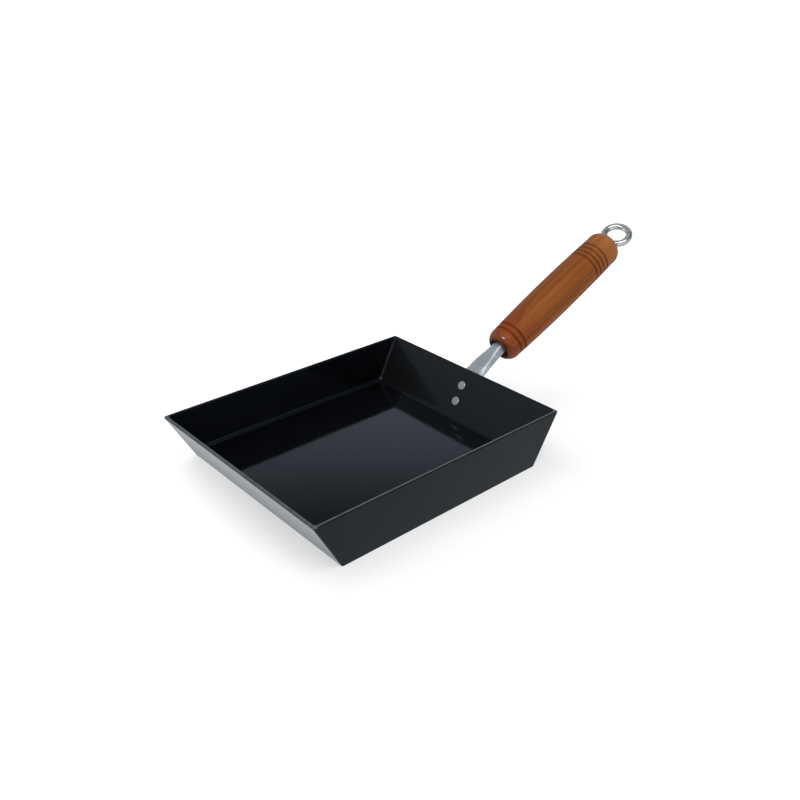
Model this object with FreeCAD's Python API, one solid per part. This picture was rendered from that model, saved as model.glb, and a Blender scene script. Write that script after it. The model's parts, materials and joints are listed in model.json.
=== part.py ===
"""Tamagoyaki pan: a flared pan with a riveted bracket, a turned wooden grip and a ring bolt.

Millimetres. The origin is on the underside of the base, at its centre. +Z is up and +X runs to the handle.
"""
import math
import os

import FreeCAD
import Part

Vector = FreeCAD.Vector

# Pan, measured outside
rim_length = 185.0
rim_width = 150.0
pan_height = 33.0
end_wall_inset = 18.1
side_wall_inset = 1.06
pan_wall = 2.0
pan_base = 4.0
inner_fillet_radius = 3.0
inner_corner_radius = 1.6
outer_fillet_radius = 0.5
outer_corner_radius = 1.2
rim_edge_radius = 0.9

# Handle line: where it leaves the wall, measured up the wall's slope, and how it climbs
axis_root_rise = 29.08
handle_tilt = 24.6
neck_length = 34.3

# Bracket: one strip of sheet, flat on the wall, folded down along the neck and a gutter in the wood
bracket_sheet = 1.8
tongue_width = 18.4
bracket_bend_radius = 8.0
neck_climb = 5.5
neck_inner_fold_radius = 0.7
root_top_width = 14.0
root_fold = 48.0
tip_top_width = 6.2
tip_fold = 66.0
gutter_strip_width = 16.0
gutter_bolt_clearance = 0.7
gutter_start = 6.0
gutter_reach = 24.0
neck_station_shares = (0.0, 0.33, 0.66, 0.95)
top_edge_share = 0.5
fold_edge_share = 0.25
mid_bend_share = 0.5

# Rivets, placed down the wall from the bracket's bend
rivet_diameter = 4.0
rivet_clearance = 0.05
upper_rivet_drop = 4.53
rivet_spacing = 11.1
tongue_end_margin = 7.2
inner_head_diameter = 6.0
inner_head_height = 0.9
inner_head_edge = 0.5
outer_head_diameter = 6.6
outer_head_height = 2.0

# Grip
grip_length = 120.0
nose_face_radius = 8.6
nose_mid_radius = 10.9
nose_mid_reach = 2.4
nose_radius = 11.9
nose_length = 7.0
belly_radius = 13.2
belly_share = 0.433
heel_radius = 12.45
heel_length = 8.0
heel_mid_radius = 11.6
heel_mid_inset = 2.5
heel_face_radius = 9.4
mouth_flare = 1.55
mouth_depth = 3.2
socket_clearance = 0.25
bolt_bore_clearance = 0.5
groove_width = 1.6
groove_depth = 0.6
front_groove_inset = 8.65
front_groove_pitch = 4.6
front_groove_count = 2
rear_groove_inset = 16.45
rear_groove_pitch = 4.05
rear_groove_count = 4

# Tie bolt, its nut and its washer
bolt_diameter = 5.0
bolt_past_nut = 8.0
bolt_end_chamfer = 0.7
ring_radius = 8.9
ring_roll = 12.0
ring_gap = 0.35
collar_diameter = 9.0
collar_height = 1.5
collar_taper = 2.6
nut_length = 6.0
nut_flats = 8.0
nut_sides = 6
thread_clearance = 0.05
washer_diameter = 12.0
washer_thickness = 1.2
washer_hole_clearance = 0.3
washer_side_clearance = 0.3
counterbore_depth = 2.2
seat_clearance = 0.1

# Length by which a cut runs past the face that it opens, and what counts as straight or level
overrun = 2.0
straight_tolerance = 0.0001
level_tolerance = 0.001

# Directions, points and distances that the pieces share
ahead = Vector(1, 0, 0)
across = Vector(0, 1, 0)
tilt = math.radians(handle_tilt)
axis = Vector(math.cos(tilt), 0, math.sin(tilt))
axis_up = Vector(-math.sin(tilt), 0, math.cos(tilt))
wall_slope = math.hypot(end_wall_inset, pan_height)
wall_up = Vector(end_wall_inset / wall_slope, 0, pan_height / wall_slope)
wall_out = Vector(wall_up.z, 0, -wall_up.x)
wall_foot = Vector(rim_length / 2 - end_wall_inset, 0, 0)
grip_front = wall_foot + wall_up * axis_root_rise + axis * neck_length
bolt_radius = bolt_diameter / 2
gutter_radius = bolt_radius + gutter_bolt_clearance + bracket_sheet
neck_fold_radius = neck_inner_fold_radius + bracket_sheet
nut_corner_radius = nut_flats / 2 / math.cos(math.pi / nut_sides)
nut_end = gutter_reach + nut_length
socket_radius = max(gutter_radius, nut_corner_radius) + socket_clearance
counterbore_floor = grip_length - counterbore_depth
collar_face = counterbore_floor + washer_thickness + seat_clearance
ring_centre = grip_length + ring_gap + bolt_radius + ring_radius

# The neck's top line runs back from the gutter to meet the wall, and the bend rounds that corner off
climb = math.radians(neck_climb)
neck_along = axis * math.cos(climb) + axis_up * math.sin(climb)
neck_end = grip_front + axis_up * gutter_radius
neck_run = (neck_end - wall_foot).dot(wall_out) / neck_along.dot(wall_out)
meeting_rise = (neck_end - wall_foot).dot(wall_up) - neck_run * neck_along.dot(wall_up)
bend = math.acos(wall_up.dot(neck_along))
bend_tangent = bracket_bend_radius * math.tan(bend / 2)
bend_rise = meeting_rise - bend_tangent
upper_rivet_rise = bend_rise - upper_rivet_drop
lower_rivet_rise = upper_rivet_rise - rivet_spacing
tongue_end_rise = lower_rivet_rise - tongue_end_margin


def on_wall(rise):
    """The point on the outside of the handle-end wall at this distance up its slope."""
    return wall_foot + wall_up * rise


def placed(shape, origin, direction):
    """Moves a shape that was made along +X from zero to an origin and a direction."""
    moved = shape.copy()
    place = FreeCAD.Placement(origin, FreeCAD.Rotation(ahead, direction))
    moved.Placement = place.multiply(moved.Placement)
    return moved


def on_handle(shape):
    """Puts a shape made along +X on the handle's line, with zero at the front of the grip."""
    return placed(shape, grip_front, axis)


def rod(radius, start, end):
    """A cylinder along +X between two distances."""
    return Part.makeCylinder(radius, end - start, ahead * start, ahead)


def line(start, end):
    """A straight edge."""
    return Part.LineSegment(start, end).toShape()


def stroke(start, middle, end):
    """An arc through three points, or a straight edge where they are in a row."""
    if (middle - start).cross(end - start).Length < straight_tolerance:
        return line(start, end)
    return Part.Arc(start, middle, end).toShape()


def profile_point(reach, radius):
    """A point of a turned profile: distance along +X and radius."""
    return Vector(reach, 0, radius)


def turned(edges):
    """The solid that a closed profile makes when it turns about +X."""
    face = Part.Face(Part.Wire(Part.__sortEdges__(edges)))
    return face.revolve(Vector(0, 0, 0), ahead, 360)


def polyline(points):
    """Straight edges through points in turn."""
    return [line(start, end) for start, end in zip(points, points[1:])]


def frustum(lower, upper):
    """A solid between two level rectangles, each given as half length, half width and height."""
    wires = []
    for half_length, half_width, height in (lower, upper):
        corners = [
            Vector(-half_length, -half_width, height),
            Vector(half_length, -half_width, height),
            Vector(half_length, half_width, height),
            Vector(-half_length, half_width, height),
        ]
        wires.append(Part.makePolygon(corners + corners[:1]))
    return Part.makeLoft(wires, True, True)


def is_level(edge, height):
    """True where the whole edge lies at a height."""
    box = edge.BoundBox
    return max(abs(box.ZMin - height), abs(box.ZMax - height)) < level_tolerance


def rounded_tray(lower, upper, fillet, corner):
    """A frustum with its bottom edges and its climbing corners rounded, the larger radius first."""
    tray = frustum(lower, upper)
    bottom = tray.BoundBox.ZMin
    top = tray.BoundBox.ZMax

    def round_bottom(body):
        return body.makeFillet(fillet, [edge for edge in body.Edges if is_level(edge, bottom)])

    def round_corners(body):
        reaching = [edge for edge in body.Edges if edge.BoundBox.ZMax > top - level_tolerance]
        return body.makeFillet(corner, [edge for edge in reaching if not is_level(edge, top)])

    if fillet > corner:
        return round_corners(round_bottom(tray))
    return round_bottom(round_corners(tray))


def rivet_holes(start, end):
    """Cutters for the rivet holes, between two depths outward from the wall's outer face."""
    hole = rod(rivet_diameter / 2 + rivet_clearance, start, end)
    return [placed(hole, on_wall(rise), wall_out) for rise in (lower_rivet_rise, upper_rivet_rise)]


def make_pan_body():
    """The pan: flared ends, nearly upright sides, a thick base, round inner fillets and a plain rim."""
    end_run = end_wall_inset / pan_height
    side_run = side_wall_inset / pan_height
    end_skin = pan_wall * math.hypot(1, end_run)
    side_skin = pan_wall * math.hypot(1, side_run)

    def outline(height, end_offset, side_offset):
        below_rim = pan_height - height
        half_length = rim_length / 2 - end_run * below_rim - end_offset
        half_width = rim_width / 2 - side_run * below_rim - side_offset
        return half_length, half_width, height

    outside = rounded_tray(
        outline(0, 0, 0),
        outline(pan_height, 0, 0),
        outer_fillet_radius,
        outer_corner_radius,
    )
    inside = rounded_tray(
        outline(pan_base, end_skin, side_skin),
        outline(pan_height + overrun, end_skin, side_skin),
        inner_fillet_radius,
        inner_corner_radius,
    )
    pan = outside.cut(inside)
    pan = pan.makeFillet(rim_edge_radius, [edge for edge in pan.Edges if is_level(edge, pan_height)])
    return pan.cut(rivet_holes(-pan_wall - overrun, overrun))


def flat_halves():
    """The right half of the strip where it is flat, as its outer and inner runs."""
    half = tongue_width / 2
    top_end = half * top_edge_share
    fold_end = top_end + half * fold_edge_share
    places = (top_end, (top_end + fold_end) / 2, fold_end, (fold_end + half) / 2, half)
    return [[(place, level) for place in places] for level in (0, -bracket_sheet)]


def folded_halves(top_width, strip_width, fold):
    """The right half of the strip with its side folded down, as its outer and inner runs.

    The top's width is that of the outside if its corners were sharp. The strip's is measured round it.
    """
    turn = math.radians(fold)
    flat_end = top_width / 2 - neck_fold_radius * math.tan(turn / 2)
    leg = strip_width / 2 - flat_end - neck_fold_radius * turn
    runs = []
    for radius in (neck_fold_radius, neck_inner_fold_radius):

        def on_fold(angle, run_out):
            place = flat_end + radius * math.sin(angle) + run_out * math.cos(angle)
            level = radius * math.cos(angle) - run_out * math.sin(angle) - neck_fold_radius
            return place, level

        runs.append([
            on_fold(0, 0),
            on_fold(turn / 2, 0),
            on_fold(turn, 0),
            on_fold(turn, leg / 2),
            on_fold(turn, leg),
        ])
    return runs


def round_halves():
    """The right half of the strip where it is a round gutter, as its outer and inner runs."""
    limit = gutter_strip_width / 2 / gutter_radius
    top_end = limit * top_edge_share
    fold_end = top_end + limit * fold_edge_share
    angles = (top_end, (top_end + fold_end) / 2, fold_end, (fold_end + limit) / 2, limit)
    runs = []
    for radius in (gutter_radius, gutter_radius - bracket_sheet):
        runs.append([(radius * math.sin(a), radius * math.cos(a) - gutter_radius) for a in angles])
    return runs


def strip_section(origin, up, halves):
    """The closed outline of the strip at one station, from the right halves of its two runs."""

    def whole_run(half, crown):
        left = [(-place, level) for place, level in reversed(half)]
        return [origin + across * place + up * level for place, level in left + [(0, crown)] + half]

    def strokes(points):
        return [stroke(*span) for span in zip(points[:-2:2], points[1:-1:2], points[2::2])]

    outer = whole_run(halves[0], 0)
    inner = list(reversed(whole_run(halves[1], -bracket_sheet)))
    caps = [line(outer[-1], inner[0]), line(inner[-1], outer[0])]
    return Part.Wire(strokes(outer) + caps[:1] + strokes(inner) + caps[1:])


def make_handle_bracket():
    """The bracket: a riveted tongue, a bend, a neck that folds down and a gutter inside the grip."""
    bend_centre = on_wall(bend_rise) + wall_out * bracket_bend_radius

    def bend_up(angle):
        return wall_up * math.sin(angle) - wall_out * math.cos(angle)

    mid_up = bend_up(bend * mid_bend_share)
    mid_halves = folded_halves(root_top_width, tongue_width, root_fold * mid_bend_share)
    stations = [
        (on_wall(bend_rise), bend_up(0), flat_halves()),
        (bend_centre + mid_up * bracket_bend_radius, mid_up, mid_halves),
    ]
    for share in neck_station_shares:
        halves = folded_halves(
            root_top_width + (tip_top_width - root_top_width) * share,
            tongue_width + (gutter_strip_width - tongue_width) * share,
            root_fold + (tip_fold - root_fold) * share,
        )
        run_left = (neck_run - bend_tangent) * (1 - share)
        stations.append((neck_end - neck_along * run_left, bend_up(bend), halves))
    stations.append((neck_end + axis * gutter_start, axis_up, round_halves()))
    sections = [strip_section(*station) for station in stations]
    neck = Part.makeLoft(sections, True, False)
    gutter = Part.Face(sections[-1]).extrude(axis * (gutter_reach - gutter_start))

    half = tongue_width / 2
    left_top = on_wall(bend_rise) - across * half
    right_top = on_wall(bend_rise) + across * half
    left_foot = on_wall(tongue_end_rise + half) - across * half
    right_foot = on_wall(tongue_end_rise + half) + across * half
    outline = [
        line(right_top, left_top),
        line(left_top, left_foot),
        stroke(left_foot, on_wall(tongue_end_rise), right_foot),
        line(right_foot, right_top),
    ]
    tongue = Part.Face(Part.Wire(outline)).extrude(wall_out * bracket_sheet)
    tongue = tongue.cut(rivet_holes(-overrun, bracket_sheet + overrun))
    return tongue.fuse([neck, gutter]).removeSplitter()


def make_rivet():
    """One rivet along +X: a low head inside the pan, the shank and a domed head outside."""
    shank = rivet_diameter / 2
    low_seat = -pan_wall
    low_top = low_seat - inner_head_height
    low_radius = inner_head_diameter / 2
    flat_radius = low_radius - inner_head_edge
    edge_mid = inner_head_edge * math.sin(math.radians(45))
    dome_radius = outer_head_diameter / 2
    dome_sphere = (dome_radius ** 2 + outer_head_height ** 2) / (2 * outer_head_height)
    dome_top = bracket_sheet + outer_head_height
    half_angle = math.asin(dome_radius / dome_sphere) / 2
    dome_middle = profile_point(
        dome_top - dome_sphere * (1 - math.cos(half_angle)),
        dome_sphere * math.sin(half_angle),
    )
    low_edge = [
        profile_point(low_top, flat_radius),
        profile_point(low_top + inner_head_edge - edge_mid, flat_radius + edge_mid),
        profile_point(low_top + inner_head_edge, low_radius),
    ]
    straight = polyline([
        low_edge[2],
        profile_point(low_seat, low_radius),
        profile_point(low_seat, shank),
        profile_point(bracket_sheet, shank),
        profile_point(bracket_sheet, dome_radius),
    ])
    dome = stroke(straight[-1].lastVertex().Point, dome_middle, profile_point(dome_top, 0))
    back = polyline([profile_point(dome_top, 0), profile_point(low_top, 0), low_edge[0]])
    return turned([stroke(*low_edge)] + straight + [dome] + back)


def make_rivets():
    """Both rivets, through the wall and the tongue."""
    rivet = make_rivet()
    rises = (lower_rivet_rise, upper_rivet_rise)
    return Part.makeCompound([placed(rivet, on_wall(rise), wall_out) for rise in rises])


def make_barrel_edges():
    """The grip's swelling outside between its round ends, with the grooves let into it."""
    heel_reach = grip_length - heel_length
    belly = profile_point(grip_length * belly_share, belly_radius)
    swell = stroke(profile_point(nose_length, nose_radius), belly, profile_point(heel_reach, heel_radius)).Curve

    def surface(reach):
        return profile_point(reach, swell.Center.z + math.sqrt(swell.Radius ** 2 - (reach - swell.Center.x) ** 2))

    def run(start, end):
        return stroke(surface(start), surface((start + end) / 2), surface(end))

    grooves = [front_groove_inset + front_groove_pitch * i for i in range(front_groove_count)]
    last_groove = grip_length - rear_groove_inset
    grooves += [last_groove - rear_groove_pitch * i for i in reversed(range(rear_groove_count))]
    edges = []
    start = nose_length
    for groove in grooves:
        near_lip = groove - groove_width / 2
        far_lip = groove + groove_width / 2
        bottom = surface(groove) - Vector(0, 0, groove_depth)
        edges += [run(start, near_lip), stroke(surface(near_lip), bottom, surface(far_lip))]
        start = far_lip
    return edges + [run(start, heel_reach)]


def make_wooden_grip():
    """The grip: a grooved barrel with round ends, a socket, a bore and a counterbore."""
    nose_edge = profile_point(0, nose_face_radius)
    nose_middle = profile_point(nose_mid_reach, nose_mid_radius)
    heel_edge = profile_point(grip_length, heel_face_radius)
    heel_start = profile_point(grip_length - heel_length, heel_radius)
    heel_middle = profile_point(grip_length - heel_mid_inset, heel_mid_radius)
    outside = [stroke(nose_edge, nose_middle, profile_point(nose_length, nose_radius))]
    outside += make_barrel_edges()
    outside += [stroke(heel_start, heel_middle, heel_edge)]
    counterbore_radius = washer_diameter / 2 + washer_side_clearance
    bore_radius = bolt_radius + bolt_bore_clearance
    inside = polyline([
        heel_edge,
        profile_point(grip_length, counterbore_radius),
        profile_point(counterbore_floor, counterbore_radius),
        profile_point(counterbore_floor, bore_radius),
        profile_point(nut_end, bore_radius),
        profile_point(nut_end, socket_radius),
        profile_point(mouth_depth, socket_radius),
        profile_point(0, socket_radius + mouth_flare),
        nose_edge,
    ])
    return on_handle(turned(outside + inside))


def make_tie_bolt():
    """The tie bolt: a closed ring, a collar that bears on the washer and a rod to the nut."""
    rod_end = gutter_reach - bolt_past_nut
    collar_radius = collar_diameter / 2
    collar_top = collar_face + collar_height
    taper_end = collar_top + collar_taper
    rod_and_collar = turned(polyline([
        profile_point(rod_end, 0),
        profile_point(rod_end, bolt_radius - bolt_end_chamfer),
        profile_point(rod_end + bolt_end_chamfer, bolt_radius),
        profile_point(collar_face, bolt_radius),
        profile_point(collar_face, collar_radius),
        profile_point(collar_top, collar_radius),
        profile_point(taper_end, bolt_radius),
        profile_point(taper_end, 0),
        profile_point(rod_end, 0),
    ]))
    roll = math.radians(ring_roll)
    ring_facing = Vector(0, -math.sin(roll), math.cos(roll))
    ring = Part.makeTorus(ring_radius, bolt_radius, ahead * ring_centre, ring_facing)
    return on_handle(rod_and_collar.fuse(ring))


def make_bracket_nut():
    """The nut on the end of the gutter, which the tie bolt screws into."""
    corners = []
    for side in range(nut_sides):
        angle = 2 * math.pi * side / nut_sides
        place = across * math.cos(angle) + ahead.cross(across) * math.sin(angle)
        corners.append(ahead * gutter_reach + place * nut_corner_radius)
    prism = Part.Face(Part.makePolygon(corners + corners[:1])).extrude(ahead * nut_length)
    hole = rod(bolt_radius + thread_clearance, gutter_reach - overrun, nut_end + overrun)
    return on_handle(prism.cut(hole))


def make_end_washer():
    """The washer in the counterbore, under the tie bolt's collar."""
    disc = rod(washer_diameter / 2, counterbore_floor, counterbore_floor + washer_thickness)
    hole = rod(bolt_radius + washer_hole_clearance, counterbore_floor - overrun, grip_length + overrun)
    return on_handle(disc.cut(hole))


def main():
    """Builds each piece and writes it under its own name."""
    pieces = {
        "pan_body": make_pan_body(),
        "handle_bracket": make_handle_bracket(),
        "rivets": make_rivets(),
        "wooden_grip": make_wooden_grip(),
        "tie_bolt": make_tie_bolt(),
        "bracket_nut": make_bracket_nut(),
        "end_washer": make_end_washer(),
    }
    os.makedirs("parts", exist_ok=True)
    for name, shape in pieces.items():
        shape.exportStep(f"parts/{name}.step")
        print(name, "solids", len(shape.Solids), "volume", round(shape.Volume, 1), "valid", shape.isValid())


main()
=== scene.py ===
"""Looks of the tamagoyaki pan: the finish of each piece, the studio and the camera.

Metres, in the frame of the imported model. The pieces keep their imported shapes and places.
"""
from __future__ import annotations

import json
import logging
import math
from dataclasses import dataclass, field
from enum import Enum
from typing import Any

import bmesh
import bpy
from mathutils import Matrix, Vector

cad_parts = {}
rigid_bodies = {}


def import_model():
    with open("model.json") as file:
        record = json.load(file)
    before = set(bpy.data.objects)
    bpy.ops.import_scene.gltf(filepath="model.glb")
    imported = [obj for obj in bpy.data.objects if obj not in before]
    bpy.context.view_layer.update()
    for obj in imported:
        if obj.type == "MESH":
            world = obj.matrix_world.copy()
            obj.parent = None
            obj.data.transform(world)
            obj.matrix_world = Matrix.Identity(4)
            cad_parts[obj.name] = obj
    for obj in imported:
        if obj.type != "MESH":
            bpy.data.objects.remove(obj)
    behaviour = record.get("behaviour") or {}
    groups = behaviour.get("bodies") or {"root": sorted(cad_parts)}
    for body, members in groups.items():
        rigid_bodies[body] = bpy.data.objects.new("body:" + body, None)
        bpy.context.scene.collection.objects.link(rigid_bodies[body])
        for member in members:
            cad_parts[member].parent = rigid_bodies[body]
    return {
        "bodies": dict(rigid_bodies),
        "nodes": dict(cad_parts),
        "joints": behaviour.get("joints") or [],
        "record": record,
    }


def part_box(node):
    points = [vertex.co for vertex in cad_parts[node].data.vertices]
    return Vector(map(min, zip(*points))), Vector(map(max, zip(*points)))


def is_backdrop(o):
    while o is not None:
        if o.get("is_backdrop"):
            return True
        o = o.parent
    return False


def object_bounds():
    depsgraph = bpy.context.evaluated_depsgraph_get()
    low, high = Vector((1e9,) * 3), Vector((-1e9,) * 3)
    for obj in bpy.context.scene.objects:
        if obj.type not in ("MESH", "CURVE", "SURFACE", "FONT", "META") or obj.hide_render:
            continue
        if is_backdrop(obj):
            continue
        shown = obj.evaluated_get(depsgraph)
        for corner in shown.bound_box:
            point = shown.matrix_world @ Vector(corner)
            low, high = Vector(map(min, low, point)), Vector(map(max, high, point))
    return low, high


log = logging.getLogger("tamagoyaki_pan")

Colour = tuple[float, float, float]
Triple = tuple[float, float, float]
Limits = tuple[float, float]
Stops = tuple[tuple[float, Colour], ...]
Socket = bpy.types.NodeSocket
Feed = float | Triple | Vector | Socket

CORNER_SAMPLES = 6
BLACK: Colour = (0.0, 0.0, 0.0)
WHITE: Colour = (1.0, 1.0, 1.0)


class Space(Enum):
    """The coordinates that a finish is laid out in."""

    PART = "part"
    HANDLE = "handle"


@dataclass(frozen=True)
class Layout:
    """Where things are: the grip on the handle's line, how the line climbs, and the pan's box."""

    front: Vector
    tilt: float
    grip_length: float
    pan_low: Vector
    pan_high: Vector

    @classmethod
    def from_frame(cls, frame: dict[str, Any]) -> Layout:
        """Reads the places from the ring bolt's joint, the grip and the pan.


        Returns:
            The layout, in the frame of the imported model.
        """
        joint = next(j for j in frame["joints"] if j["name"] == "ring_turn")
        axis = Vector(joint["axis"]).normalized()
        point = Vector(joint["pos_m"])
        grip = frame["nodes"]["wooden_grip"].data.vertices
        reaches = [(vertex.co - point).dot(axis) for vertex in grip]
        front = point + axis * min(reaches)
        low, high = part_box("pan_body")
        tilt = math.atan2(axis.z, axis.x)
        return cls(front, tilt, max(reaches) - min(reaches), Vector(low), Vector(high))

    @property
    def axis(self) -> Triple:
        """The direction of the handle's line, away from the pan."""
        return math.cos(self.tilt), 0.0, math.sin(self.tilt)

    @property
    def rim(self) -> float:
        """The height of the pan's rim."""
        return self.pan_high.z


@dataclass(frozen=True)
class Grain:
    """A soft noise: how often it changes in a metre along each direction, its finer layers and its twist."""

    per_metre: Triple
    detail: float = 2.0
    warp: float = 0.0

    @classmethod
    def even(cls, per_metre: float, detail: float = 2.0, warp: float = 0.0) -> Grain:
        """A noise that changes as often in every direction."""
        return cls((per_metre, per_metre, per_metre), detail, warp)


class NodePad:
    """Adds nodes to one shader tree and hands back their sockets."""

    def __init__(self, tree: bpy.types.NodeTree) -> None:
        """Takes the tree that the nodes go in."""
        self.tree = tree

    def add(self, kind: str, inputs: dict[Any, Any] | None = None, **settings: Any) -> bpy.types.Node:
        """Adds a node.

        Args:
            kind: The node's type name.
            inputs: Values or sockets for the node's inputs, by name or number.
            settings: Properties of the node itself.

        Returns:
            The node.
        """
        node = self.tree.nodes.new(kind)
        for name, value in settings.items():
            setattr(node, name, value)
        for key, value in (inputs or {}).items():
            self.feed(node.inputs[key], value)
        return node

    def feed(self, socket: Socket, value: Any) -> None:
        """Links a socket into an input, or sets the input's own value.

        Args:
            socket: The input.
            value: What goes into it.
        """
        if isinstance(value, Socket):
            self.tree.links.new(value, socket)
        else:
            socket.default_value = value

    def place(self, space: Space, layout: Layout) -> Socket:
        """The point on the surface, in the part's frame or along the handle.

        Args:
            space: Which coordinates to give.
            layout: Where the handle's line is.

        Returns:
            A vector socket. Along the handle, X is the distance from the front of the grip.
        """
        point = self.add("ShaderNodeTexCoord").outputs["Object"]
        if space is Space.PART:
            return point
        inputs = {"Vector": point, "Location": layout.front, "Rotation": (0.0, -layout.tilt, 0.0)}
        return self.add("ShaderNodeMapping", inputs, vector_type="TEXTURE").outputs["Vector"]

    def parts(self, point: Socket) -> tuple[Socket, Socket, Socket]:
        """The X, Y and Z of a vector."""
        outputs = self.add("ShaderNodeSeparateXYZ", {0: point}).outputs
        return outputs["X"], outputs["Y"], outputs["Z"]

    def math(self, operation: str, first: Feed, second: Feed = 0.0) -> Socket:
        """The value of one sum on two values or sockets."""
        return self.add("ShaderNodeMath", {0: first, 1: second}, operation=operation).outputs[0]

    def product(self, first: Feed, *others: Feed) -> Feed:
        """Some values or sockets, multiplied.

        Args:
            first: The first of them.
            others: The rest of them.

        Returns:
            Their product.
        """
        for other in others:
            first = self.math("MULTIPLY", first, other)
        return first

    def rest(self, share: Feed) -> Socket:
        """What a share leaves of one."""
        return self.math("SUBTRACT", 1.0, share)

    def length(self, across: Feed, rise: Feed) -> Socket:
        """How far a place is from a line, by its two distances at right angles."""
        squares = self.math("ADD", self.math("POWER", across, 2.0), self.math("POWER", rise, 2.0))
        return self.math("SQRT", squares)

    def scaled_sum(self, value: Feed, scale: Feed, added: Feed) -> Socket:
        """A value times a scale, plus another value."""
        inputs = {0: value, 1: scale, 2: added}
        return self.add("ShaderNodeMath", inputs, operation="MULTIPLY_ADD").outputs[0]

    def dot(self, first: Feed, second: Feed) -> Socket:
        """How far two directions agree, from minus one to one."""
        inputs = {0: first, 1: second}
        return self.add("ShaderNodeVectorMath", inputs, operation="DOT_PRODUCT").outputs["Value"]

    def span(self, value: Feed, low: float, high: float, to_low: float = 0.0, to_high: float = 1.0) -> Socket:
        """A smooth step of a value between two limits, carried to two new limits."""
        inputs = {"Value": value, "From Min": low, "From Max": high, "To Min": to_low, "To Max": to_high}
        return self.add("ShaderNodeMapRange", inputs, interpolation_type="SMOOTHSTEP").outputs["Result"]

    def noise(self, point: Socket, grain: Grain) -> Socket:
        """Soft noise from zero to one.

        Args:
            point: The vector socket that it is laid out by.
            grain: Which noise it is.

        Returns:
            A value socket.
        """
        scaled = self.add("ShaderNodeVectorMath", {0: point, 1: grain.per_metre}, operation="MULTIPLY")
        inputs = {"Vector": scaled.outputs[0], "Scale": 1.0, "Detail": grain.detail, "Distortion": grain.warp}
        return self.add("ShaderNodeTexNoise", inputs).outputs["Fac"]

    def ramp(self, value: Feed, stops: Stops) -> Socket:
        """The colour that a value has between stops.

        Args:
            value: The value.
            stops: The places of the colours and the colours.

        Returns:
            A colour socket.
        """
        node = self.add("ShaderNodeValToRGB", {"Fac": value})
        elements = node.color_ramp.elements
        while len(elements) < len(stops):
            elements.new(1.0)
        for element, (position, colour) in zip(elements, stops):
            element.position = position
            element.color = (*colour, 1.0)
        return node.outputs["Color"]

    def mix(self, share: Feed, first: Feed, second: Feed, blend: str = "MIX") -> Socket:
        """One colour laid over another by a share.

        Args:
            share: How much of the second colour there is.
            first: The colour below.
            second: The colour above.
            blend: How the second is laid over the first.

        Returns:
            A colour socket.
        """
        node = self.add("ShaderNodeMix", data_type="RGBA", blend_type=blend)
        self.feed(node.inputs["Factor"], share)
        for name, value in (("A", first), ("B", second)):
            socket = next(s for s in node.inputs if s.name == name and s.type == "RGBA")
            self.feed(socket, (*value, 1.0) if isinstance(value, tuple) else value)
        return next(s for s in node.outputs if s.type == "RGBA")

    def edges(self, radius: float, turn: Limits) -> Socket:
        """Where the surface turns a corner, from zero to one.

        Args:
            radius: How far round a corner the surface is looked at.
            turn: The turns at which the mask starts and is full.

        Returns:
            A value socket.
        """
        rounded = self.add("ShaderNodeBevel", {"Radius": radius}, samples=CORNER_SAMPLES).outputs["Normal"]
        normal = self.add("ShaderNodeNewGeometry").outputs["Normal"]
        return self.span(self.rest(self.dot(rounded, normal)), *turn)

    def bump(self, height: Feed, depth: float, strength: float = 1.0) -> Socket:
        """The normal of a surface with a height laid over it, at a depth in metres."""
        inputs = {"Height": height, "Distance": depth, "Strength": strength}
        return self.add("ShaderNodeBump", inputs).outputs["Normal"]


class Finish:
    """What the surface finishes have in common."""

    name = "finish"

    def material(self, layout: Layout) -> bpy.types.Material:
        """Makes the material.

        Args:
            layout: Where the pan and the handle's line are, for finishes that follow them.

        Returns:
            The material, with its shader fed by this finish.
        """
        made = bpy.data.materials.new(self.name)
        made.use_nodes = True
        pad = NodePad(made.node_tree)
        shader = made.node_tree.nodes["Principled BSDF"]
        for socket, value in self.sockets(pad, layout).items():
            pad.feed(shader.inputs[socket], value)
        return made

    def sockets(self, pad: NodePad, layout: Layout) -> dict[str, Any]:
        """What goes into each of the shader's sockets."""
        raise NotImplementedError


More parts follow.
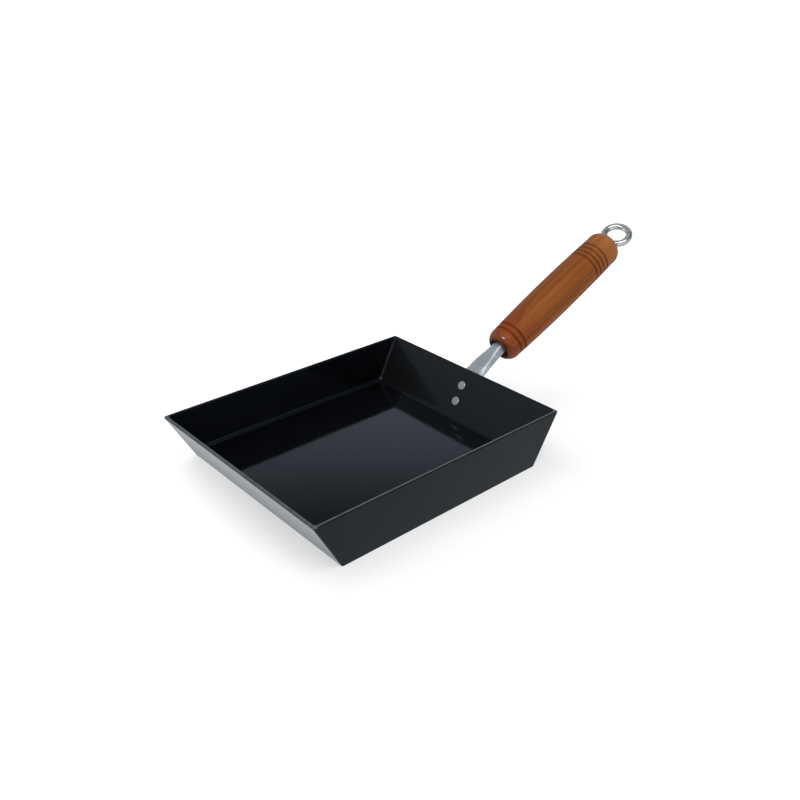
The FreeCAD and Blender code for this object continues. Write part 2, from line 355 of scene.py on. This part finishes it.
@dataclass(frozen=True)
class BakedCoat(Finish):
    """The pan's dark baked coat, glossy and blue-black.

    A painted highlight, broken up by rubbing, lies on the near rim's crest and on the far rim; the foot is
    rubbed.
    It is hazier and less glossy at the handle end.
    """

    name = "baked_coat"
    colour: Colour = (0.0012, 0.0013, 0.0020)
    cloud_colour: Colour = (0.0020, 0.0022, 0.0030)
    rim_highlight_colour: Colour = (0.085, 0.089, 0.093)
    foot_colour: Colour = (0.020, 0.021, 0.022)
    gloss_tint: Colour = (0.70, 0.86, 1.0)
    refraction: float = 1.35
    gloss: float = 0.5
    roughness: float = 0.065
    smear: float = 0.05
    rim_roughness: float = 0.22
    haze: float = 0.10
    haze_roughness: float = 0.5

    # The handle end, by distances inwards from that end of the rim.
    end_haze: float = 0.30
    end_gloss: float = 0.20
    end_reach: Limits = (0.0204, 0.0164)

    # Painted highlight on the rims and wear at the foot, by distances inwards from the rim's near side and
    # far end and depths below its crest. Each is full from the full share of a depth, or of the foot's
    # height.
    near_side: Limits = (0.002, 0.005)
    crest_depth: float = 0.00025
    far_end: Limits = (0.0014, 0.0034)
    far_depth: float = 0.0011
    foot_height: float = 0.0012
    full_share: float = 0.3
    rim_rubbing: Limits = (0.25, 0.6)
    rim_least: float = 0.6
    foot_rubbing: Limits = (0.4, 0.65)

    clouds: Grain = Grain.even(38.0, 4.0, 0.6)
    cloud_tone: Limits = (0.3, 0.75)
    cloud_smear: Limits = (0.40, 0.8)
    rubbing: Grain = Grain.even(260.0, 3.0)
    peel: Grain = Grain.even(620.0, 1.0)
    peel_depth: float = 0.000010
    ripple: Grain = Grain.even(16.0, 1.0)
    ripple_depth: float = 0.00008

    def near_crest(self, pad: NodePad, height: Socket, depth: float, layout: Layout) -> Socket:
        """Where the surface is within a depth of the rim's crest, from zero to one."""
        return pad.span(height, layout.rim - depth, layout.rim - depth * self.full_share)

    def rim_highlight_and_wear(self, pad: NodePad, point: Socket, rubbed: Socket, layout: Layout) -> Feed:
        """Where the rim carries its painted highlight, broken up by rubbing: its crest at the near side,
        deeper at the far end.

        Args:
            pad: What adds the nodes.
            point: The place on the surface.
            rubbed: How much each place was rubbed.
            layout: Where the pan is.

        Returns:
            A value socket, from zero to one.
        """
        along, across, height = pad.parts(point)
        near_side = (layout.pan_low.y + reach for reach in self.near_side)
        far_end = (layout.pan_low.x + reach for reach in self.far_end)
        near = self.near_crest(pad, height, self.crest_depth, layout)
        near = pad.product(near, pad.span(across, *near_side, 1.0, 0.0))
        far = self.near_crest(pad, height, self.far_depth, layout)
        far = pad.product(far, pad.span(along, *far_end, 1.0, 0.0))
        wear = pad.span(rubbed, *self.rim_rubbing, self.rim_least, 1.0)
        return pad.product(pad.math("MAXIMUM", near, far), wear)

    def sockets(self, pad: NodePad, layout: Layout) -> dict[str, Any]:
        """Lays out the coat.

        Args:
            pad: What adds the nodes.
            layout: Where the pan is.

        Returns:
            What goes into each of the shader's sockets.
        """
        point = pad.place(Space.PART, layout)
        along, _, height = pad.parts(point)
        clouds = pad.noise(point, self.clouds)
        rubbed = pad.noise(point, self.rubbing)
        rim = self.rim_highlight_and_wear(pad, point, rubbed, layout)
        foot = pad.span(height, self.foot_height * self.full_share, self.foot_height, 1.0, 0.0)
        foot = pad.product(foot, pad.span(rubbed, *self.foot_rubbing))
        worn = pad.math("MAXIMUM", rim, foot)
        colour = pad.mix(pad.span(clouds, *self.cloud_tone), self.colour, self.cloud_colour)
        colour = pad.mix(foot, colour, self.foot_colour)
        smeared = pad.span(clouds, *self.cloud_smear, self.roughness, self.roughness + self.smear)
        ripple = pad.noise(point, self.ripple)
        relief = pad.scaled_sum(ripple, self.ripple_depth / self.peel_depth, pad.noise(point, self.peel))
        handle_end = pad.span(along, *(layout.pan_high.x - reach for reach in self.end_reach))
        return {
            # The rims' lighter grey is a painted highlight, broken up by rubbing; the foot's lighter grey is
            # rubbed wear.
            "Base Color": pad.mix(rim, colour, self.rim_highlight_colour),
            "Roughness": pad.scaled_sum(worn, self.rim_roughness - self.roughness, smeared),
            "IOR": self.refraction,
            "Specular Tint": (*self.gloss_tint, 1.0),
            "Specular IOR Level": pad.scaled_sum(handle_end, self.end_gloss - self.gloss, self.gloss),
            "Coat Weight": pad.scaled_sum(handle_end, self.end_haze, self.haze),
            "Coat Roughness": self.haze_roughness,
            "Normal": pad.bump(relief, self.peel_depth),
        }


@dataclass(frozen=True)
class PressedSteel(Finish):
    """The bracket's bare pressed steel: a fine satin grain along the strip, brighter at its edges."""

    name = "pressed_steel"
    colour: Colour = (0.63, 0.65, 0.67)
    dull_colour: Colour = (0.52, 0.54, 0.555)
    edge_colour: Colour = (0.76, 0.78, 0.79)
    edge_radius: float = 0.0004
    edge_turn: Limits = (0.05, 0.5)
    roughness: float = 0.40
    grain: Grain = Grain((60.0, 5200.0, 5200.0), 3.0)
    grain_limits: Limits = (0.25, 0.75)
    grain_roughness: float = 0.12
    grain_depth: float = 0.000006
    clouds: Grain = Grain((140.0, 190.0, 190.0), 3.0, 0.4)
    cloud_limits: Limits = (0.35, 0.75)
    cloud_roughness: float = 0.08

    def sockets(self, pad: NodePad, layout: Layout) -> dict[str, Any]:
        """Lays out the steel along the handle.

        Args:
            pad: What adds the nodes.
            layout: Where the handle's line is.

        Returns:
            What goes into each of the shader's sockets.
        """
        point = pad.place(Space.HANDLE, layout)
        grain = pad.noise(point, self.grain)
        clouds = pad.noise(point, self.clouds)
        edge = pad.edges(self.edge_radius, self.edge_turn)
        colour = pad.mix(pad.span(clouds, *self.cloud_limits), self.colour, self.dull_colour)
        rougher = self.roughness + self.grain_roughness
        grained = pad.span(grain, *self.grain_limits, self.roughness, rougher)
        return {
            "Base Color": pad.mix(edge, colour, self.edge_colour),
            "Metallic": 1.0,
            "Roughness": pad.scaled_sum(clouds, self.cloud_roughness, grained),
            "Normal": pad.bump(grain, self.grain_depth),
        }


@dataclass(frozen=True)
class RivetMetal(Finish):
    """The rivets' matt grey metal, with the marks of the setting tool."""

    name = "rivet_metal"
    colour: Colour = (0.43, 0.425, 0.42)
    mark_colour: Colour = (0.30, 0.30, 0.30)
    roughness: float = 0.42
    scuffs: Grain = Grain((3200.0, 700.0, 3200.0), 3.0)
    mark_limits: Limits = (0.52, 0.72)
    scuff_limits: Limits = (0.3, 0.7)
    scuff_roughness: float = 0.16
    dimples: Grain = Grain.even(900.0)
    dimple_depth: float = 0.00003

    def sockets(self, pad: NodePad, layout: Layout) -> dict[str, Any]:
        """Lays out the metal and its marks.

        Args:
            pad: What adds the nodes.
            layout: Where the handle's line is.

        Returns:
            What goes into each of the shader's sockets.
        """
        point = pad.place(Space.PART, layout)
        scuffs = pad.noise(point, self.scuffs)
        rougher = self.roughness + self.scuff_roughness
        return {
            "Base Color": pad.mix(pad.span(scuffs, *self.mark_limits), self.colour, self.mark_colour),
            "Metallic": 1.0,
            "Roughness": pad.span(scuffs, *self.scuff_limits, self.roughness, rougher),
            "Normal": pad.bump(pad.noise(point, self.dimples), self.dimple_depth),
        }


@dataclass(frozen=True)
class GrooveRow:
    """A row of equal grooves round the grip, by their distances from its front."""

    first: float
    pitch: float
    count: int

    @property
    def places(self) -> list[float]:
        """The middle of each groove."""
        return [self.first + self.pitch * number for number in range(self.count)]


@dataclass(frozen=True)
class LacqueredWood(Finish):
    """The grip's stained wood under a thin lacquer.

    It is redder and glossier at the nose, paler at the heel, painted darker on its +Y side as shade, and dark
    in the grooves, which is partly their own tone and partly painted shade.
    """

    name = "lacquered_wood"
    tones: Stops = (
        (0.20, (0.335, 0.107, 0.021)),
        (0.48, (0.262, 0.074, 0.013)),
        (0.64, (0.208, 0.053, 0.009)),
        (0.86, (0.116, 0.026, 0.005)),
    )
    streaks: Grain = Grain((5.0, 270.0, 270.0), 4.0, 0.25)
    streak_share: float = 0.66
    fibre: Grain = Grain((34.0, 2100.0, 2100.0), 3.0)
    fibre_share: float = 0.28
    pores: Grain = Grain((150.0, 2900.0, 2900.0), 1.0)
    pore_limits: Limits = (0.62, 0.74)
    pore_share: float = 0.5
    pore_tone: Colour = (0.116, 0.026, 0.005)

    # Year's rings round a pith below and beside the grip.
    ring_share: float = 0.12
    pith_across: float = 0.021
    pith_up: float = -0.034
    ring_spacing: float = 0.0023
    ring_wander: float = 0.006
    wander: Grain = Grain((9.0, 60.0, 60.0))
    ring_dark: Limits = (0.25, 0.86)
    ring_end: Limits = (0.90, 1.0)

    # Places that differ in tone.
    nose_tone: Colour = (0.98, 0.68, 0.50)
    nose_reach: Limits = (0.012, 0.052)
    nose_wander: float = 0.02
    blotches: Grain = Grain((16.0, 26.0, 26.0), 3.0)
    heel_tone: Colour = (1.0, 0.46, 0.16)
    heel_share: float = 0.13
    heel_reach: float = 0.030
    # Painted shade: the grip's +Y side is painted darker, its heel is not paler there and its grooves are
    # fainter there.
    painted_shade_depth: float = 0.16
    painted_shade_reach: Limits = (-0.002, 0.009)
    end_tone: Colour = (0.62, 0.52, 0.46)
    end_facing: Limits = (0.55, 0.97)
    # Painted shade inside the mouth and the bores.
    mouth_shade: Colour = (0.30, 0.23, 0.20)
    mouth_radius: Limits = (0.0080, 0.0086)
    grooves: tuple[GrooveRow, ...] = (GrooveRow(0.00865, 0.0046, 2), GrooveRow(0.0914, 0.00405, 4))
    groove_edge: Limits = (0.00045, 0.0008)
    groove_tone_and_shade: Colour = (0.66, 0.56, 0.48)
    groove_fade: float = 0.6

    roughness: Limits = (0.34, 0.50)
    rough_tones: Limits = (0.3, 0.8)
    sheen_level: float = 0.10
    lacquer: float = 0.07
    lacquer_roughness: float = 0.30
    nose_lacquer: float = 0.49
    nose_roughness: float = 0.13
    gloss_reach: Limits = (0.003, 0.007)
    grain_depth: float = 0.00004
    grain_strength: float = 0.6
    fibre_height: float = 0.5

    def grooved(self, pad: NodePad, reach: Socket) -> Feed:
        """Where the surface is in a groove.

        Args:
            pad: What adds the nodes.
            reach: The distance from the front of the grip.

        Returns:
            A value socket, from zero to one.
        """
        mask: Feed = 0.0
        for place in (place for row in self.grooves for place in row.places):
            away = pad.math("ABSOLUTE", pad.math("SUBTRACT", reach, place))
            mask = pad.math("MAXIMUM", mask, pad.span(away, *self.groove_edge, 1.0, 0.0))
        return mask

    def rings(self, pad: NodePad, point: Socket) -> Feed:
        """How far the wood is into the dark part of a year's ring.

        Args:
            pad: What adds the nodes.
            point: The place along the handle.

        Returns:
            A value socket, from zero to one.
        """
        _, across, rise = pad.parts(point)
        across = pad.math("SUBTRACT", across, self.pith_across)
        rise = pad.math("SUBTRACT", rise, self.pith_up)
        wander = pad.noise(point, self.wander)
        radius = pad.scaled_sum(wander, self.ring_wander, pad.length(across, rise))
        turn = pad.math("FRACT", pad.math("DIVIDE", radius, self.ring_spacing))
        return pad.product(pad.span(turn, *self.ring_dark), pad.span(turn, *self.ring_end, 1.0, 0.0))

    def bored(self, pad: NodePad, across: Socket, rise: Socket) -> Socket:
        """Where the surface is inside the mouth and the bores, from zero to one."""
        return pad.span(pad.length(across, rise), *self.mouth_radius, 1.0, 0.0)

    def stain(self, pad: NodePad, colour: Socket, point: Socket, shade: Socket, layout: Layout) -> Socket:
        """Lays the tones of the nose and the heel over the wood; the heel's paler tone is left out under the
        painted shade.

        Args:
            pad: What adds the nodes.
            colour: The colour of the wood.
            point: The place along the handle.
            shade: How far the place is into the painted shade on the +Y side.
            layout: Where the handle's line is.

        Returns:
            A colour socket.
        """
        reach, _, _ = pad.parts(point)
        towards_nose = pad.scaled_sum(pad.noise(point, self.blotches), self.nose_wander, reach)
        nose = pad.span(towards_nose, *self.nose_reach, 1.0, 0.0)
        colour = pad.mix(nose, colour, self.nose_tone, "MULTIPLY")
        heel_start = layout.grip_length - self.heel_reach
        heel = pad.span(reach, heel_start, layout.grip_length, 0.0, self.heel_share)
        return pad.mix(pad.product(heel, pad.rest(shade)), colour, self.heel_tone)

    def darken(self, pad: NodePad, colour: Socket, reach: Socket, shade: Socket, layout: Layout) -> Socket:
        """Darkens the grooves, with their own tone and painted shade, and the two ends.

        Args:
            pad: What adds the nodes.
            colour: The colour of the wood.
            reach: The distance from the front of the grip.
            shade: How far the place is into the painted shade on the +Y side, where the grooves' painted
                shade is fainter.
            layout: Where the handle's line is.

        Returns:
            A colour socket.
        """
        # The grooves' darkening is partly painted shade in the recess, and it is painted fainter on the +Y
        # side.
        groove = pad.scaled_sum(shade, -self.groove_fade, 1.0)
        groove = pad.product(groove, self.grooved(pad, reach))
        colour = pad.mix(groove, colour, self.groove_tone_and_shade, "MULTIPLY")
        facing = pad.dot(pad.add("ShaderNodeTexCoord").outputs["Normal"], layout.axis)
        end = pad.span(pad.math("ABSOLUTE", facing), *self.end_facing)
        return pad.mix(end, colour, self.end_tone, "MULTIPLY")

    def sockets(self, pad: NodePad, layout: Layout) -> dict[str, Any]:
        """Lays out the wood along the handle.

        Args:
            pad: What adds the nodes.
            layout: Where the handle's line is.

        Returns:
            What goes into each of the shader's sockets.
        """
        point = pad.place(Space.HANDLE, layout)
        reach, across, rise = pad.parts(point)
        fibre = pad.noise(point, self.fibre)
        # Painted shade, darker towards the grip's +Y side.
        shade = pad.span(across, *self.painted_shade_reach)
        tone = pad.product(pad.noise(point, self.streaks), self.streak_share)
        tone = pad.scaled_sum(self.rings(pad, point), self.ring_share, tone)
        tone = pad.scaled_sum(fibre, self.fibre_share, tone)
        tone = pad.scaled_sum(shade, self.painted_shade_depth, tone)
        pores = pad.span(pad.noise(point, self.pores), *self.pore_limits)
        bored = self.bored(pad, across, rise)
        colour = self.stain(pad, pad.ramp(tone, self.tones), point, shade, layout)
        colour = pad.mix(pad.product(pores, self.pore_share), colour, self.pore_tone)
        colour = self.darken(pad, colour, reach, shade, layout)
        relief = pad.math("SUBTRACT", pad.product(fibre, self.fibre_height), pores)
        lacquer = pad.span(reach, *self.gloss_reach, self.nose_lacquer, self.lacquer)
        return {
            # Inside the mouth and bores the wood is painted dark as shade, and it has no lacquer there.
            "Base Color": pad.mix(bored, colour, self.mouth_shade, "MULTIPLY"),
            "Roughness": pad.span(tone, *self.rough_tones, *self.roughness),
            "Specular IOR Level": self.sheen_level,
            "Coat Weight": pad.product(lacquer, pad.rest(bored)),
            "Coat Roughness": pad.span(reach, *self.gloss_reach, self.nose_roughness, self.lacquer_roughness),
            "Normal": pad.bump(relief, self.grain_depth, self.grain_strength),
        }


@dataclass(frozen=True)
class BrightPlating(Finish):
    """The ring's bright plating, slightly wavy, with handling marks."""

    name = "bright_plating"
    colour: Colour = (0.76, 0.74, 0.72)
    dull_colour: Colour = (0.46, 0.455, 0.45)
    roughness: float = 0.14
    smears: Grain = Grain.even(240.0, 4.0, 0.5)
    mark_limits: Limits = (0.50, 0.68)
    mark_roughness: float = 0.14
    waves: Grain = Grain.even(330.0, 1.0)
    wave_depth: float = 0.00010

    def sockets(self, pad: NodePad, layout: Layout) -> dict[str, Any]:
        """Lays out the plating and its marks.

        Args:
            pad: What adds the nodes.
            layout: Where the handle's line is.

        Returns:
            What goes into each of the shader's sockets.
        """
        point = pad.place(Space.HANDLE, layout)
        marks = pad.span(pad.noise(point, self.smears), *self.mark_limits)
        return {
            "Base Color": pad.mix(marks, self.colour, self.dull_colour),
            "Metallic": 1.0,
            "Roughness": pad.scaled_sum(marks, self.mark_roughness, self.roughness),
            "Normal": pad.bump(pad.noise(point, self.waves), self.wave_depth),
        }


@dataclass(frozen=True)
class PlainSteel(Finish):
    """The nut's and washer's plain plated steel."""

    name = "plain_steel"
    colour: Colour = (0.52, 0.54, 0.56)
    dull_colour: Colour = (0.38, 0.39, 0.40)
    clouds: Grain = Grain.even(320.0, 3.0)
    cloud_limits: Limits = (0.4, 0.7)
    roughness: float = 0.34
    grain: Grain = Grain.even(1800.0, 3.0)
    grain_limits: Limits = (0.3, 0.7)
    grain_roughness: float = 0.15
    grain_depth: float = 0.00001

    def sockets(self, pad: NodePad, layout: Layout) -> dict[str, Any]:
        """Lays out the steel.

        Args:
            pad: What adds the nodes.
            layout: Where the handle's line is.

        Returns:
            What goes into each of the shader's sockets.
        """
        point = pad.place(Space.HANDLE, layout)
        grain = pad.noise(point, self.grain)
        dull = pad.span(pad.noise(point, self.clouds), *self.cloud_limits)
        rougher = self.roughness + self.grain_roughness
        return {
            "Base Color": pad.mix(dull, self.colour, self.dull_colour),
            "Metallic": 1.0,
            "Roughness": pad.span(grain, *self.grain_limits, self.roughness, rougher),
            "Normal": pad.bump(grain, self.grain_depth),
        }


@dataclass
class Piece:
    """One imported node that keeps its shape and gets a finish."""

    node: str
    slot: str
    finish: Finish

    def dress(self, nodes: dict[str, bpy.types.Object], layout: Layout) -> bpy.types.Object:
        """Puts the finish on the node.

        Args:
            nodes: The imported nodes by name.
            layout: Where the pan and the handle's line are.

        Returns:
            The node's object.
        """
        shown = nodes[self.node]
        made = self.finish.material(layout)
        for place in shown.material_slots:
            place.material = made
        return shown


@dataclass
class Assembly:
    """What the sub-assemblies have in common: pieces that are dressed together."""

    pieces: tuple[Piece, ...]

    def dress(self, nodes: dict[str, bpy.types.Object], layout: Layout) -> list[bpy.types.Object]:
        """The node's object of each piece, with its finish put on."""
        return [piece.dress(nodes, layout) for piece in self.pieces]


@dataclass
class RivetedPan(Assembly):
    """The pan, the bracket on its handle end and the rivets between them."""

    pieces: tuple[Piece, ...] = (
        Piece("pan_body", "pan_coat", BakedCoat()),
        Piece("handle_bracket", "bracket_steel", PressedSteel()),
        Piece("rivets", "rivet_metal", RivetMetal()),
    )


@dataclass
class TurnedGrip(Assembly):
    """The wooden grip with what holds it from inside."""

    pieces: tuple[Piece, ...] = (
        Piece("wooden_grip", "grip_wood", LacqueredWood()),
        Piece("bracket_nut", "inner_steel", PlainSteel()),
        Piece("end_washer", "inner_steel", PlainSteel()),
    )


@dataclass
class RingBolt(Assembly):
    """The ring at the end of the grip with its rod."""

    pieces: tuple[Piece, ...] = (Piece("tie_bolt", "ring_plating", BrightPlating()),)


@dataclass(frozen=True)
class Softbox:
    """One rectangular soft light that faces the middle of the object.

    It can be kept from lighting the surfaces up, or from being mirrored in them.
    """

    name: str
    towards: Triple
    distance: float
    size: tuple[float, float]
    radiance: float
    lights_up: bool = True
    mirrored: bool = True

    def hang(self, middle: Vector) -> None:
        """Makes the light.

        Args:
            middle: The point that the light faces.
        """
        lamp = bpy.data.lights.new(self.name, "AREA")
        lamp.shape = "RECTANGLE"
        lamp.size, lamp.size_y = self.size
        lamp.energy = self.radiance * math.pi * lamp.size * lamp.size_y
        light = bpy.data.objects.new(self.name, lamp)
        away = Vector(self.towards).normalized()
        light.location = middle + away * self.distance
        light.rotation_euler = away.to_track_quat("Z", "Y").to_euler()
        light.visible_diffuse = self.lights_up
        light.visible_glossy = self.mirrored
        bpy.context.scene.collection.objects.link(light)


@dataclass(frozen=True)
class DarkPanel:
    """One dark panel of the studio, which the object mirrors.

    The facing is how far a direction agrees with the panel's own where the panel starts and where it is full.
    """

    towards: Triple
    facing: Limits
    share: float


@dataclass
class Studio:
    """A white floor in a soft studio.

    It has pale cool walls with two dark panels, a broad light and a strip above, a low light at the near side
    and a small light towards the pan's far end.
    """

    middle: Triple = (0.06, 0.0, 0.03)
    floor_reach: float = 12.0
    paper: Colour = (0.48, 0.466, 0.455)
    floor_lift: float = 0.56
    shadow_middle: Triple = (0.025, -0.045, 0.0)
    shadow_reach: Limits = (0.09, 0.30)

    # The floor as the object mirrors it, by distances inwards from the rim's far end and near side.
    floor_glow: Colour = (0.62, 0.65, 0.68)
    shade_inner: float = 0.0194
    shade_side: float = 0.0015
    shade_reach: Limits = (0.0109, 0.0179)
    shade_change: Limits = (0.20, -0.18)
    shade_fade: Limits = (-0.0381, -0.0081)

    sky: Stops = (
        (0.00, (1.00, 1.00, 1.00)),
        (0.10, (0.67, 0.80, 0.90)),
        (0.22, (0.48, 0.585, 0.62)),
        (0.40, (0.60, 0.71, 0.78)),
        (0.49, (0.66, 0.75, 0.83)),
        (0.518, (0.56, 0.65, 0.73)),
        (0.552, (0.29, 0.345, 0.39)),
        (0.582, (0.12, 0.145, 0.165)),
        (0.72, (0.29, 0.34, 0.37)),
        (1.00, (0.38, 0.40, 0.41)),
    )
    panels: tuple[DarkPanel, ...] = (
        DarkPanel((-0.94, -0.16, 0.30), (0.88, 0.95), 0.70),
        DarkPanel((0.68, -0.40, 0.61), (0.87, 0.96), 0.75),
    )
    lights: tuple[Softbox, ...] = (
        Softbox("broad_light", (-0.22, 0.38, 0.90), 1.50, (1.50, 1.10), 2.0, mirrored=False),
        Softbox("strip_light", (-0.15, -0.37, 0.91), 1.30, (1.00, 0.40), 3.4),
        Softbox("side_light", (0.30, -0.93, 0.20), 1.40, (0.90, 0.50), 4.4, mirrored=False),
        Softbox("small_light", (-0.78, -0.12, 0.61), 1.30, (0.42, 0.16), 30.0, lights_up=False),
    )

    def build(self, layout: Layout) -> None:
        """Makes the floor, the world and the lights.

        Args:
            layout: Where the pan is.
        """
        self.lay_floor(layout)
        self.light_world()
        for light in self.lights:
            light.hang(Vector(self.middle))
        bpy.context.scene.view_settings.view_transform = "Standard"

    def lay_floor(self, layout: Layout) -> None:
        """Makes the white floor, which shows the object's shadow.

        Args:
            layout: Where the pan is.
        """
        mesh = bpy.data.meshes.new("studio_floor")
        grid = bmesh.new()
        bmesh.ops.create_grid(grid, x_segments=1, y_segments=1, size=self.floor_reach)
        grid.to_mesh(mesh)
        grid.free()
        floor = bpy.data.objects.new("studio_floor", mesh)
        bpy.context.scene.collection.objects.link(floor)
        floor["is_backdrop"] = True
        mesh.materials.append(self.white_paper(layout))

    def white_paper(self, layout: Layout) -> bpy.types.Material:
        """Makes the floor's material: lifted to white for the camera, and a cool glow where it is mirrored.

        Args:
            layout: Where the pan is.

        Returns:
            The material.
        """
        made = bpy.data.materials.new("white_paper")
        made.use_nodes = True
        made.node_tree.nodes.clear()
        pad = NodePad(made.node_tree)
        ray = pad.add("ShaderNodeLightPath").outputs
        point = pad.add("ShaderNodeTexCoord").outputs["Object"]
        inputs = {0: point, 1: self.shadow_middle}
        away = pad.add("ShaderNodeVectorMath", inputs, operation="DISTANCE").outputs["Value"]
        rise = pad.span(away, *self.shadow_reach, self.floor_lift, 1.0)
        paper = pad.add("ShaderNodeBsdfDiffuse", {"Color": (*self.paper, 1.0)})
        lift = pad.add("ShaderNodeEmission", {"Strength": pad.product(ray["Is Camera Ray"], rise)})
        lit = pad.add("ShaderNodeAddShader", {0: paper.outputs[0], 1: lift.outputs[0]})
        level = self.mirrored_level(pad, point, layout)
        glow = pad.add("ShaderNodeEmission", {"Color": (*self.floor_glow, 1.0), "Strength": level})
        mirrored = pad.math("MAXIMUM", ray["Is Glossy Ray"], ray["Is Transmission Ray"])
        both = pad.add("ShaderNodeMixShader", {0: mirrored, 1: lit.outputs[0], 2: glow.outputs[0]})
        pad.add("ShaderNodeOutputMaterial", {"Surface": both.outputs[0]})
        return made

    def mirrored_level(self, pad: NodePad, point: Socket, layout: Layout) -> Socket:
        """The mirrored floor's level: brighter and then darker in under the far end, and even elsewhere.

        Args:
            pad: What adds the nodes.
            point: The place on the floor.
            layout: Where the pan is.

        Returns:
            A value socket.
        """
        along, across, _ = pad.parts(point)
        far_end, near_side = layout.pan_low.x, layout.pan_low.y
        under = pad.math("LESS_THAN", along, far_end + self.shade_inner)
        inside = pad.math("GREATER_THAN", across, near_side + self.shade_side)
        close = pad.span(along, *(far_end + reach for reach in self.shade_fade))
        change = pad.span(along, *(far_end + reach for reach in self.shade_reach), *self.shade_change)
        return pad.scaled_sum(pad.product(under, inside, close), change, 1.0)

    def light_world(self) -> None:
        """Makes the studio round the object, by height above the horizon, white where the camera sees it."""
        world = bpy.data.worlds.new("studio")
        world.use_nodes = True
        world.node_tree.nodes.clear()
        pad = NodePad(world.node_tree)
        towards = pad.add("ShaderNodeTexCoord").outputs["Generated"]
        ray = pad.add("ShaderNodeLightPath").outputs
        _, _, height = pad.parts(towards)
        colour = pad.ramp(height, self.sky)
        for panel in self.panels:
            dark = pad.span(pad.dot(towards, panel.towards), *panel.facing, 0.0, panel.share)
            colour = pad.mix(pad.product(dark, ray["Is Glossy Ray"]), colour, BLACK)
        colour = pad.mix(ray["Is Camera Ray"], colour, WHITE)
        glow = pad.add("ShaderNodeBackground", {"Color": colour})
        pad.add("ShaderNodeOutputWorld", {"Surface": glow.outputs[0]})
        bpy.context.scene.world = world


@dataclass
class ProductCamera:
    """The camera, at the photograph's viewing angle."""

    azimuth: float = -41.640
    elevation: float = 27.837
    roll: float = 0.363
    distance: float = 0.55317
    move_right: float = 0.02250
    move_up: float = 0.03729
    sensor: float = 36.0
    focal_pixels: float = 895.0
    picture_pixels: float = 800.0
    clip_start: float = 0.01

    def build(self) -> None:
        """Makes the camera and gives it to the scene."""
        turn, rise = math.radians(self.azimuth), math.radians(self.elevation)
        level = math.cos(rise)
        back = Vector((math.sin(turn) * level, -math.cos(turn) * level, math.sin(rise)))
        right = Vector((math.cos(turn), math.sin(turn), 0.0))
        up = back.cross(right)
        lens = bpy.data.cameras.new("product_camera")
        lens.sensor_width = self.sensor
        lens.lens = self.sensor * self.focal_pixels / self.picture_pixels
        lens.clip_start = self.clip_start
        camera = bpy.data.objects.new("product_camera", lens)
        stand = back * self.distance + right * self.move_right + up * self.move_up
        facing = Matrix((right, up, back)).transposed()
        rolled = facing @ Matrix.Rotation(math.radians(self.roll), 3, "Z")
        camera.matrix_world = Matrix.Translation(stand) @ rolled.to_4x4()
        bpy.context.scene.collection.objects.link(camera)
        bpy.context.scene.camera = camera


@dataclass
class SizeNote:
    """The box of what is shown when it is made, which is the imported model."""

    packed: tuple[Vector, Vector] = field(default_factory=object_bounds)

    def write(self) -> None:
        """Does nothing; no box is written."""


def main() -> None:
    """Dresses each sub-assembly, then makes the studio and the camera."""
    logging.basicConfig(level=logging.INFO, format="%(name)s: %(message)s")
    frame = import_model()
    sizes = SizeNote()
    layout = Layout.from_frame(frame)
    for assembly in (RivetedPan(), TurnedGrip(), RingBolt()):
        for piece, shown in zip(assembly.pieces, assembly.dress(frame["nodes"], layout)):
            log.info("%s: %s has %s", type(assembly).__name__, shown.name, piece.finish.name)
    Studio().build(layout)
    ProductCamera().build()
    sizes.write()


if __name__ == "__main__":
    main()
